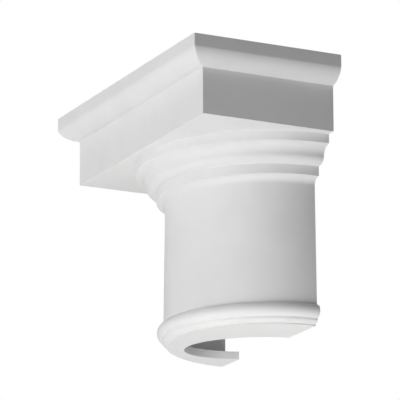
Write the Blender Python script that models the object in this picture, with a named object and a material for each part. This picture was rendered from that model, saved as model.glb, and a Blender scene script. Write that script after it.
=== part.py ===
"""Half column capital for a column engaged in a wall: one white moulded
rigid-foam piece. From the top down: a flat band, a crown moulding, a plain
fascia and a flat soffit, all mitred at the two front corners; then a round
fillet, a wave-shaped moulding, a second fillet and a hollow curve; a plain
neck; a half-round bead, a step, a small quarter-round and the flat underside.

Metres, +Z up. The front faces -Y, the flat back is the plane y = +DEPTH / 2,
and the column's axis lies in that plane. The origin is the middle of the
bounding box's underside.
"""

import math

import bmesh
import bpy
from mathutils import Matrix

# overall size, and the square top
WIDTH = 0.370
DEPTH = WIDTH / 2
HEIGHT = 0.300
BAND = 0.014            # height of the plain band round the top edge
CROWN = 0.0170          # height of the crown moulding under it
CROWN_IN = 0.020        # how far the crown moulding steps in
CROWN_CURVE = 0.0158    # its rounded face: height,
CROWN_CURVE_IN = 0.0148     # and how far it comes in
FASCIA = 0.054          # height of the plain face under the crown

# round mouldings under the soffit, radii about the column's axis
NECK_R = 0.1185         # neck radius at its top
NECK_FLARE = 0.0010     # the neck is this much larger at its foot
UPPER_FILLET_OUT = 0.0352   # fillet under the soffit, beyond the neck
UPPER_FILLET = 0.0110
WAVE = 0.0205           # wave moulding, hollow above and bulging below
WAVE_BULGE = 0.0085     # height of its bulging lower part
WAVE_MIDDLE_OUT = 0.0228    # beyond the neck where the two meet,
WAVE_OUT = 0.0113       # and at its lower end
WAVE_HOLLOW = 0.0147    # half width of the ellipse its hollow follows
LOWER_FILLET_OUT = 0.0102
LOWER_FILLET = 0.0115
COVE_OUT = 0.0100       # hollow curve from the lower fillet into the neck
COVE = 0.0084

# foot of the neck
BEAD_R = 0.0084         # half-round bead
BEAD_RISE = 0.0072      # its middle above the top of the step under it
STEP_OUT = 0.0023       # that upright step, beyond the neck
STEP = 0.0028
OVOLO_OUT = 0.0051      # flattened quarter-round under the step, across and up
OVOLO = 0.0039
FOOT = 0.0017           # short upright face above the underside

# the hollow
WALL = 0.010            # foam left round the hollow
PLATE = 0.0095          # thickness of the underside
OPENING_LONG = 0.1590   # oval opening in the underside
OPENING_SHORT = 0.1122
OPENING_TURN = 51.4     # degrees, its long way from the X direction
OPENING_X = -0.0150
OPENING_Y = -0.0123     # from the column's axis

TURN_STEPS = 128
AXIS_Y = DEPTH / 2
SOFFIT_Z = HEIGHT - BAND - CROWN - FASCIA


def arc(centre, half_across, half_up, start, end, steps):
    """Points along an elliptical arc in the (radius, height) plane, in degrees."""
    points = []
    for i in range(steps + 1):
        a = math.radians(start + (end - start) * i / steps)
        points.append((centre[0] + half_across * math.cos(a), centre[1] + half_up * math.sin(a)))
    return points


def square_profile():
    """(step in, height) down the square top, from the top edge to the soffit."""
    under_band = HEIGHT - BAND
    points = [(0.0, HEIGHT), (0.0, under_band)]
    # the rounded face is the part of an ellipse from 8 to 56 degrees below its side
    start, end = math.radians(8), math.radians(56)
    across = CROWN_CURVE_IN / (math.cos(start) - math.cos(end))
    down = CROWN_CURVE / (math.sin(end) - math.sin(start))
    points += arc((across * math.cos(start), under_band + down * math.sin(start)), across, down, 188, 236, 8)[1:]
    points += [(CROWN_IN, under_band - CROWN), (CROWN_IN, SOFFIT_Z)]
    return points


def turned_profile():
    """(radius, height) down the round mouldings, from inside the square top to the underside."""
    fillet_r = NECK_R + UPPER_FILLET_OUT
    wave_end_r = NECK_R + WAVE_OUT
    wave_mid_r = NECK_R + WAVE_MIDDLE_OUT
    z = SOFFIT_Z
    points = [(fillet_r, z + WALL), (fillet_r, z - UPPER_FILLET)]
    z -= UPPER_FILLET
    z -= WAVE
    middle_z = z + WAVE_BULGE
    points += arc((wave_mid_r + WAVE_HOLLOW, middle_z), WAVE_HOLLOW, WAVE - WAVE_BULGE, 104, 180, 7)
    points += arc((wave_end_r, middle_z), wave_mid_r - wave_end_r, WAVE_BULGE, 0, -90, 7)[1:]
    points += [(NECK_R + LOWER_FILLET_OUT, z), (NECK_R + LOWER_FILLET_OUT, z - LOWER_FILLET)]
    z -= LOWER_FILLET
    points += arc((NECK_R + COVE_OUT, z - COVE), COVE_OUT, COVE, 90, 180, 5)

    # the foot, worked out upwards from the underside
    neck_foot_r = NECK_R + NECK_FLARE
    step_r = neck_foot_r + STEP_OUT
    foot_r = step_r - OVOLO_OUT
    step_top = FOOT + OVOLO + STEP
    points += arc((neck_foot_r, step_top + BEAD_RISE), BEAD_R, BEAD_R, 84, -58, 12)
    points.append((step_r, step_top))
    # the quarter-round is the part of an ellipse from 25 to 65 degrees below its side
    flat = math.radians(25)
    spread = math.cos(flat) - math.sin(flat)
    across, up = OVOLO_OUT / spread, OVOLO / spread
    points += arc((foot_r - across * math.sin(flat), FOOT + up * math.cos(flat)), across, up, -25, -65, 5)
    points.append((foot_r, 0.0))
    return points


def mesh_object(name, bm):
    bmesh.ops.recalc_face_normals(bm, faces=bm.faces)
    mesh = bpy.data.meshes.new(name)
    bm.to_mesh(mesh)
    bm.free()
    ob = bpy.data.objects.new(name, mesh)
    bpy.context.scene.collection.objects.link(ob)
    return ob


def square_block(name, profile, back_y):
    """A block with the profile run round its front and two sides, mitred at the corners."""
    bm = bmesh.new()
    rings = []
    for step_in, z in profile:
        half, front = WIDTH / 2 - step_in, -DEPTH / 2 + step_in
        corners = ((-half, back_y), (-half, front), (half, front), (half, back_y))
        rings.append([bm.verts.new((x, y, z)) for x, y in corners])
    for upper, lower in zip(rings, rings[1:]):
        for i in range(4):
            j = (i + 1) % 4
            bm.faces.new((upper[i], upper[j], lower[j], lower[i]))
    bm.faces.new(rings[0])
    bm.faces.new(rings[-1])
    return mesh_object(name, bm)


def turned_solid(name, profile, steps):
    """A solid of revolution about the column's axis, closed flat at both ends."""
    bm = bmesh.new()
    top = [(0.0, profile[0][1])]
    bottom = [(0.0, profile[-1][1])]
    line = [bm.verts.new((r, 0.0, z)) for r, z in top + profile + bottom]
    edges = [bm.edges.new(pair) for pair in zip(line, line[1:])]
    bmesh.ops.spin(bm, geom=line + edges, axis=(0, 0, 1), cent=(0, 0, 0),
                   steps=steps, angle=2 * math.pi, use_duplicate=False)
    bmesh.ops.remove_doubles(bm, verts=bm.verts, dist=0.00001)
    ob = mesh_object(name, bm)
    ob.location = (0.0, AXIS_Y, 0.0)
    return ob


def cutter(ob):
    ob.hide_render = True
    ob.display_type = 'WIRE'
    return ob


def boolean(ob, other, operation):
    mod = ob.modifiers.new(other.name, 'BOOLEAN')
    mod.operation = operation
    mod.solver = 'EXACT'
    mod.object = other


def foam_material():
    mat = bpy.data.materials.new("primed rigid foam")
    mat.use_nodes = True
    bsdf = mat.node_tree.nodes["Principled BSDF"]
    bsdf.inputs["Base Color"].default_value = (0.80, 0.80, 0.79, 1.0)
    bsdf.inputs["Roughness"].default_value = 0.6
    bsdf.inputs["Metallic"].default_value = 0.0
    return mat


for old in list(bpy.data.objects):
    bpy.data.objects.remove(old, do_unlink=True)

# the block runs on past the wall plane, and everything is cut off flat there at the end
capital = square_block("half_capital", square_profile(), DEPTH / 2 + 0.03)

round_part = cutter(turned_solid("round_mouldings", turned_profile(), TURN_STEPS))
boolean(capital, round_part, 'UNION')

# the hollow above the underside, open at the back
hollow_top = SOFFIT_Z - WALL
hollow = cutter(turned_solid("hollow", [(NECK_R - WALL, hollow_top), (NECK_R - WALL, PLATE)], 96))
boolean(capital, hollow, 'DIFFERENCE')

# the oval opening in the underside
bm = bmesh.new()
bmesh.ops.create_cone(bm, cap_ends=True, segments=72, radius1=0.5, radius2=0.5, depth=3 * PLATE)
bmesh.ops.scale(bm, vec=(OPENING_LONG, OPENING_SHORT, 1.0), verts=bm.verts)
bmesh.ops.rotate(bm, cent=(0, 0, 0), matrix=Matrix.Rotation(math.radians(OPENING_TURN), 3, 'Z'), verts=bm.verts)
opening = cutter(mesh_object("opening", bm))
opening.location = (OPENING_X, AXIS_Y + OPENING_Y, PLATE / 2)
boolean(capital, opening, 'DIFFERENCE')

# everything behind the wall plane
bm = bmesh.new()
bmesh.ops.create_cube(bm, size=1.0)
bmesh.ops.scale(bm, vec=(2 * WIDTH, WIDTH, 2 * HEIGHT), verts=bm.verts)
behind = cutter(mesh_object("behind_the_wall_plane", bm))
behind.location = (0.0, DEPTH / 2 + WIDTH / 2, HEIGHT / 2)
boolean(capital, behind, 'DIFFERENCE')

capital.data.materials.append(foam_material())
capital.data.shade_smooth()
capital.data.set_sharp_from_angle(angle=math.radians(30))
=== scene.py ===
import math

import bmesh
import bpy
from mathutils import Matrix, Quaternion, Vector


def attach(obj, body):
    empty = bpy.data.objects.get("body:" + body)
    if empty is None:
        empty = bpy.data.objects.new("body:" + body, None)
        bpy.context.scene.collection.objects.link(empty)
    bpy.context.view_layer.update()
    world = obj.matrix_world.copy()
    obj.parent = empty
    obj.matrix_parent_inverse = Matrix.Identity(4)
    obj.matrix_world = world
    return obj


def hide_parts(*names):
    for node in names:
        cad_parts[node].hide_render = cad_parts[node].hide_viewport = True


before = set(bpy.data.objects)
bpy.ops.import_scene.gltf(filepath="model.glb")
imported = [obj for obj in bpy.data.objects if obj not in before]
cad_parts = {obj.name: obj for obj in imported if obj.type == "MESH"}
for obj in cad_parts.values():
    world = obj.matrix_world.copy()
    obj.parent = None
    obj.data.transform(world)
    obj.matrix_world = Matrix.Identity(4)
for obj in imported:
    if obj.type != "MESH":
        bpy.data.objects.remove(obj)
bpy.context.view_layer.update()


# Half capital
#
# Half a column capital, one piece of rigid polyurethane foam cast in a closed
# mould and primed white there. It is glued and screwed flat to the wall over a
# half-round shaft; its back is open into the hollow of the neck.

WIDTH, DEPTH, HEIGHT = 0.370, 0.185, 0.300
WALL_Y = DEPTH / 2              # the flat back; the column's axis lies in it

# square top: plain band, crown moulding with its rounded face, plain fascia, soffit
BAND = 0.014
CROWN, CROWN_IN = 0.017, 0.020
CROWN_CURVE, CROWN_CURVE_IN = 0.0158, 0.0148
FASCIA = 0.054
SOFFIT_Z = HEIGHT - BAND - CROWN - FASCIA

# round mouldings under the soffit: how far each stands out from the neck, and its height
NECK_R = 0.1185
UPPER_FILLET_OUT, UPPER_FILLET = 0.0352, 0.0110
WAVE_MIDDLE_OUT, WAVE_OUT, WAVE = 0.0228, 0.0113, 0.0205
WAVE_BULGE = 0.0085             # height of the bulging part below the hollow one
WAVE_HOLLOW = 0.0147            # half width of the ellipse the hollow part follows
LOWER_FILLET_OUT, LOWER_FILLET = 0.0102, 0.0115
COVE_OUT, COVE = 0.0100, 0.0084

# foot of the neck, from the underside up
NECK_FOOT_R = 0.1195
FOOT = 0.0017
OVOLO_OUT, OVOLO = 0.0051, 0.0039
STEP_OUT, STEP = 0.0023, 0.0028
BEAD_R, BEAD_RISE = 0.0084, 0.0072

# the hollow, and the skewed oval opening in the underside that the wall plane cuts off
FOAM, PLATE = 0.010, 0.0095     # foam round the hollow, and thickness of the underside
OPENING_LONG, OPENING_SHORT = 0.1590, 0.1122
OPENING_TURN = 51.4             # degrees, its long way from the X direction
OPENING_X, OPENING_Y = -0.0150, -0.0123

# how far the mould rounds the arrises
SQUARE_ARRIS, ROUND_ARRIS, CORNER_ARRIS, LIP_ARRIS = 0.0007, 0.0006, 0.0009, 0.0008
FLOOR_CORNER, CEILING_CORNER = 0.002, 0.006     # inside the hollow

TURN_STEPS = 192                # round the half circle
OPENING_STEPS = 120


def arc(centre, across, up, start, end, steps):
    """Points (radius, height) along an elliptical arc, angles in degrees."""
    turns = [math.radians(start + (end - start) * i / steps) for i in range(steps + 1)]
    return [(centre[0] + across * math.cos(a), centre[1] + up * math.sin(a)) for a in turns]


def soften(points, reach, steps=4, smooth_below=18, share=0.42):
    """Rounds each corner of a profile as a mould does, cutting back by reach at most.

    A turn of less than smooth_below degrees belongs to a curve and stays, and no
    side of a corner loses more than its share.
    """
    soft = [Vector(points[0])]
    for before, corner, after in zip(points, points[1:], points[2:]):
        corner = Vector(corner)
        back, on = Vector(before) - corner, Vector(after) - corner
        if math.degrees((-back).angle(on)) < smooth_below:
            soft.append(corner)
            continue
        start = corner + back.normalized() * min(reach, back.length * share)
        end = corner + on.normalized() * min(reach, on.length * share)
        for i in range(steps + 1):
            t = i / steps
            soft.append(start * (1 - t) ** 2 + corner * 2 * t * (1 - t) + end * t * t)
    soft.append(Vector(points[-1]))
    return soft


def square_profile():
    """(step in, height) from the top edge down to the soffit's edge."""
    under_band = HEIGHT - BAND
    points = [(0.0, HEIGHT), (0.0, under_band)]
    # the rounded face is the part of an ellipse from 8 to 56 degrees below its side
    start, end = math.radians(8), math.radians(56)
    across = CROWN_CURVE_IN / (math.cos(start) - math.cos(end))
    down = CROWN_CURVE / (math.sin(end) - math.sin(start))
    centre = (across * math.cos(start), under_band + down * math.sin(start))
    points += arc(centre, across, down, 188, 236, 16)[1:]
    return points + [(CROWN_IN, under_band - CROWN), (CROWN_IN, SOFFIT_Z)]


def turned_profile():
    """(radius, height) from the soffit down to the underside."""
    fillet_r, lower_r = NECK_R + UPPER_FILLET_OUT, NECK_R + LOWER_FILLET_OUT
    wave_middle_r, wave_end_r = NECK_R + WAVE_MIDDLE_OUT, NECK_R + WAVE_OUT
    z = SOFFIT_Z - UPPER_FILLET
    points = [(fillet_r, SOFFIT_Z), (fillet_r, z)]
    z -= WAVE
    middle_z = z + WAVE_BULGE
    points += arc((wave_middle_r + WAVE_HOLLOW, middle_z), WAVE_HOLLOW, WAVE - WAVE_BULGE, 104, 180, 14)
    points += arc((wave_end_r, middle_z), wave_middle_r - wave_end_r, WAVE_BULGE, 0, -90, 14)[1:]
    points += [(lower_r, z), (lower_r, z - LOWER_FILLET)]
    z -= LOWER_FILLET
    points += arc((NECK_R + COVE_OUT, z - COVE), COVE_OUT, COVE, 90, 180, 10)

    step_r = NECK_FOOT_R + STEP_OUT
    foot_r = step_r - OVOLO_OUT
    step_top = FOOT + OVOLO + STEP
    points += arc((NECK_FOOT_R, step_top + BEAD_RISE), BEAD_R, BEAD_R, 84, -58, 24)
    points.append((step_r, step_top))
    # the quarter-round is the part of an ellipse from 25 to 65 degrees below its side
    flat = math.radians(25)
    spread = math.cos(flat) - math.sin(flat)
    across, up = OVOLO_OUT / spread, OVOLO / spread
    centre = (foot_r - across * math.sin(flat), FOOT + up * math.cos(flat))
    points += arc(centre, across, up, -25, -65, 8)
    return points + [(foot_r, 0.0)]


def plan_row(step_in, z, steps=5):
    """One level of the square top: back left, round both front corners, back right."""
    half, front = WIDTH / 2 - step_in, -DEPTH / 2 + step_in
    row = [(-half, WALL_Y, z)]
    for side, start in ((-1, 180), (1, 270)):
        middle_x, middle_y = side * (half - CORNER_ARRIS), front + CORNER_ARRIS
        for i in range(steps + 1):
            a = math.radians(start + 90 * i / steps)
            row.append((middle_x + CORNER_ARRIS * math.cos(a), middle_y + CORNER_ARRIS * math.sin(a), z))
    return row + [(half, WALL_Y, z)]


def half_turn(r, z):
    """One level of the round part, from the wall on the -X side round the front to the +X side."""
    turns = [math.pi * i / TURN_STEPS for i in range(TURN_STEPS + 1)]
    return [(-r * math.cos(a), WALL_Y - r * math.sin(a), z) for a in turns]


def opening_row(grow, z):
    """One level of the oval opening, from the wall on the -X side round to the +X side."""
    long_half, short_half = OPENING_LONG / 2 + grow, OPENING_SHORT / 2 + grow
    turn = math.radians(OPENING_TURN)
    rise, run = long_half * math.sin(turn), short_half * math.cos(turn)
    # the oval runs furthest into the wall at middle, and crosses it half_way to both sides
    middle, half_way = math.atan2(run, rise), math.acos(-OPENING_Y / math.hypot(rise, run))
    row = []
    for i in range(OPENING_STEPS + 1):
        a = middle + half_way + (2 * math.pi - 2 * half_way) * i / OPENING_STEPS
        along, across = long_half * math.cos(a), short_half * math.sin(a)
        x = OPENING_X + along * math.cos(turn) - across * math.sin(turn)
        y = OPENING_Y + along * math.sin(turn) + across * math.cos(turn)
        row.append((x, WALL_Y + min(y, 0.0), z))
    return row


def rows_of_points(bm, rows):
    """Adds rows of points one under the other, with quads between them."""
    made = [[bm.verts.new(p) for p in row] for row in rows]
    for upper, lower in zip(made, made[1:]):
        for a, b, c, d in zip(upper, upper[1:], lower[1:], lower):
            bm.faces.new((a, b, c, d))
    return made


bm = bmesh.new()
square = rows_of_points(bm, [plan_row(p.x, p.y) for p in soften(square_profile(), SQUARE_ARRIS)])
turned = rows_of_points(bm, [half_turn(p.x, p.y) for p in soften(turned_profile(), ROUND_ARRIS)])

# the lip round the opening, with its lower edge rounded, and the plain hollow above it
quarter = [math.radians(22.5 * i) for i in range(5)]
lip = rows_of_points(bm, [opening_row(LIP_ARRIS * (1 - math.sin(a)), LIP_ARRIS * (1 - math.cos(a)))
                          for a in quarter] + [opening_row(0.0, PLATE)])
hollow_r, ceiling = NECK_R - FOAM, SOFFIT_Z - FOAM
hollow_profile = arc((hollow_r - FLOOR_CORNER, PLATE + FLOOR_CORNER), FLOOR_CORNER, FLOOR_CORNER, -90, 0, 4)
hollow_profile += arc((hollow_r - CEILING_CORNER, ceiling - CEILING_CORNER),
                      CEILING_CORNER, CEILING_CORNER, 0, 90, 6)
hollow = rows_of_points(bm, [half_turn(r, z) for r, z in hollow_profile])

# the flat faces: top, soffit, underside, the hollow's floor and ceiling, and the sawn back
bm.faces.new(square[0])
bm.faces.new(square[-1] + turned[0][::-1])
bm.faces.new(turned[-1] + lip[0][::-1])
bm.faces.new(hollow[0] + lip[-1][::-1])
bm.faces.new(hollow[-1])
down_one_side = [row[0] for row in square + turned + lip + hollow]
up_the_other = [row[-1] for row in (square + turned + lip + hollow)[::-1]]
bm.faces.new(down_one_side + up_the_other)
bmesh.ops.recalc_face_normals(bm, faces=bm.faces)

mesh = bpy.data.meshes.new("moulded_half_capital")
bm.to_mesh(mesh)
bm.free()
capital = bpy.data.objects.new("moulded_half_capital", mesh)
bpy.context.scene.collection.objects.link(capital)
mesh.shade_smooth()
mesh.set_sharp_from_angle(angle=math.radians(30))
true_flats = capital.modifiers.new("true flats", 'WEIGHTED_NORMAL')
true_flats.mode = 'FACE_AREA'
true_flats.keep_sharp = True


def linear(code, alpha=1.0):
    """An sRGB hex colour as the linear values the shader takes."""
    parts = [int(code[i:i + 2], 16) / 255 for i in (0, 2, 4)]
    return tuple(c / 12.92 if c <= 0.04045 else ((c + 0.055) / 1.055) ** 2.4 for c in parts) + (alpha,)


def add(tree, kind, links=(), **settings):
    """Adds a node, sets its properties or input sockets, and links its inputs."""
    new = tree.nodes.new(kind)
    for name, value in settings.items():
        if hasattr(new, name):
            setattr(new, name, value)
        else:
            new.inputs[name.replace("_", " ")].default_value = value
    for name, source in links:
        tree.links.new(source, new.inputs[name])
    return new


# Polyurethane foam skin under mould-applied primer: dense, chalk white and matt,
# with the faint wave of a released moulding and a stipple as fine as plaster.
foam = bpy.data.materials.new("moulded polyurethane foam, white primer")
foam.use_nodes = True
tree = foam.node_tree
skin = tree.nodes["Principled BSDF"]
skin.inputs["IOR"].default_value = 1.49
place = add(tree, "ShaderNodeTexCoord").outputs["Object"]

# primer lies a little thicker in some places, in patches about 40 mm across (25 to the metre)
patches = add(tree, "ShaderNodeTexNoise", [("Vector", place)], Scale=25.0, Detail=3.0, Roughness=0.5)
shade = add(tree, "ShaderNodeValToRGB", [("Fac", patches.outputs["Fac"])])
thin, thick = shade.color_ramp.elements[0], shade.color_ramp.elements[1]
thin.position, thin.color = 0.35, linear("EEEEEE")
thick.position, thick.color = 0.65, linear("F1F1F1")
tree.links.new(shade.outputs["Color"], skin.inputs["Base Color"])
dull = add(tree, "ShaderNodeMapRange", [("Value", patches.outputs["Fac"])], To_Min=0.52, To_Max=0.62)
tree.links.new(dull.outputs["Result"], skin.inputs["Roughness"])

# stipple of the foam's skin: the real grains are well under 1 mm, and are drawn about
# 1.5 mm across (650 to the metre) and less than 0.1 mm high so that they show at all
stipple = add(tree, "ShaderNodeTexNoise", [("Vector", place)], Scale=650.0, Detail=2.0)
grain = add(tree, "ShaderNodeBump", [("Height", stipple.outputs["Fac"])], Strength=0.6, Distance=0.00014)
# the slow wave left as the casting cools, about 60 mm from crest to crest (16 to the metre)
slow = add(tree, "ShaderNodeTexNoise", [("Vector", place)], Scale=16.0, Detail=1.0)
wave = add(tree, "ShaderNodeBump", [("Height", slow.outputs["Fac"]), ("Normal", grain.outputs["Normal"])],
           Strength=0.15, Distance=0.0005)
tree.links.new(wave.outputs["Normal"], skin.inputs["Normal"])
mesh.materials.append(foam)

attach(capital, "root")
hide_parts("half_capital")


# Floor
#
# A plain pale studio floor. The capital is hung up and seen from below, so the
# floor lies well under it and under the camera.

FLOOR_Z, FLOOR_HALF = -2.2, 2.2

bm = bmesh.new()
bmesh.ops.create_grid(bm, x_segments=8, y_segments=8, size=FLOOR_HALF)
floor_mesh = bpy.data.meshes.new("studio_floor")
bm.to_mesh(floor_mesh)
bm.free()
floor = bpy.data.objects.new("studio_floor", floor_mesh)
floor.location = (0.0, 0.0, FLOOR_Z)
bpy.context.scene.collection.objects.link(floor)
painted = bpy.data.materials.new("pale painted floor")
painted.use_nodes = True
paint = painted.node_tree.nodes["Principled BSDF"]
paint.inputs["Base Color"].default_value = linear("E6E6E4")
paint.inputs["Roughness"].default_value = 0.8
floor_mesh.materials.append(painted)


# Light
#
# A white surround, and soft boxes round the capital. The strongest is low in
# front and reaches the soffit and the mouldings, weaker ones fill from above,
# from the left and from behind, and the right side stays in half shade.

scene = bpy.context.scene
scene.view_settings.view_transform = 'Standard'
scene.view_settings.look = 'None'

# the surround looks white and adds only a little light
surround = bpy.data.worlds.new("white surround")
surround.use_nodes = True
scene.world = surround
sky = surround.node_tree
sky.nodes.clear()
dim = add(sky, "ShaderNodeBackground", Color=linear("FFFFFF"), Strength=0.04)
white = add(sky, "ShaderNodeBackground", Color=linear("FFFFFF"), Strength=1.0)
seen = add(sky, "ShaderNodeLightPath").outputs["Is Camera Ray"]
both = add(sky, "ShaderNodeMixShader", [(0, seen), (1, dim.outputs[0]), (2, white.outputs[0])])
add(sky, "ShaderNodeOutputWorld", [("Surface", both.outputs[0])])


def direction(azimuth, elevation):
    """Unit vector away from the capital, azimuth in degrees from the front towards +X."""
    turn, lift = math.radians(azimuth), math.radians(elevation)
    return Vector((math.sin(turn) * math.cos(lift), -math.cos(turn) * math.cos(lift), math.sin(lift)))


def soft_light(name, azimuth, elevation, power, away=2.4, size=1.6):
    """A square soft box aimed at the middle of the capital, kept out of the picture itself."""
    lamp = bpy.data.lights.new(name, 'AREA')
    lamp.shape, lamp.size, lamp.energy = 'SQUARE', size, power
    ob = bpy.data.objects.new(name, lamp)
    towards = direction(azimuth, elevation)
    ob.location = Vector((0.0, 0.0, HEIGHT / 2)) + away * towards
    ob.rotation_euler = (-towards).to_track_quat('-Z', 'Y').to_euler()
    ob.visible_camera = False
    bpy.context.scene.collection.objects.link(ob)


soft_light("low front light", 15.0, -25.0, 30.0)
soft_light("upper front light", 0.0, 30.0, 13.3)
soft_light("right front light", 60.0, 0.0, 5.4)
soft_light("left front light", -60.0, 0.0, 8.0)
soft_light("light from the left and behind", -110.0, -30.0, 9.2)
soft_light("light from above", -90.0, 78.0, 20.0)
soft_light("back light", -150.0, 0.0, 14.0)
# two small ones close under the right side light the neck's edge more than the square top
soft_light("small light low on the right", 100.0, -45.0, 0.78, away=0.8, size=0.4)
soft_light("small light under the right side", 90.0, -60.0, 0.48, away=0.7, size=0.5)

# and one over the floor, 3 m square, that the floor throws back up
over_floor = bpy.data.lights.new("light over the floor", 'AREA')
over_floor.shape, over_floor.size, over_floor.energy = 'SQUARE', 3.0, 26.0
floor_light = bpy.data.objects.new("light over the floor", over_floor)
floor_light.location = (0.0, 0.0, FLOOR_Z + 0.8)
scene.collection.objects.link(floor_light)


# Camera
#
# A long lens from below, on the capital's right front, where the photograph was
# taken from. It hangs almost level: the roll is a fifth of a degree.

view = bpy.data.cameras.new("camera")
view.sensor_width = 36.0
view.lens = 306.45
view.clip_start, view.clip_end = 0.1, 60.0
camera = bpy.data.objects.new("camera", view)
camera.location = (3.3958, -1.6816, -0.8782)
roll = Quaternion((0.0, 0.0, 1.0), math.radians(-0.179))
camera.rotation_euler = (direction(63.577, -15.387).to_track_quat('Z', 'Y') @ roll).to_euler()
scene.collection.objects.link(camera)
scene.camera = camera
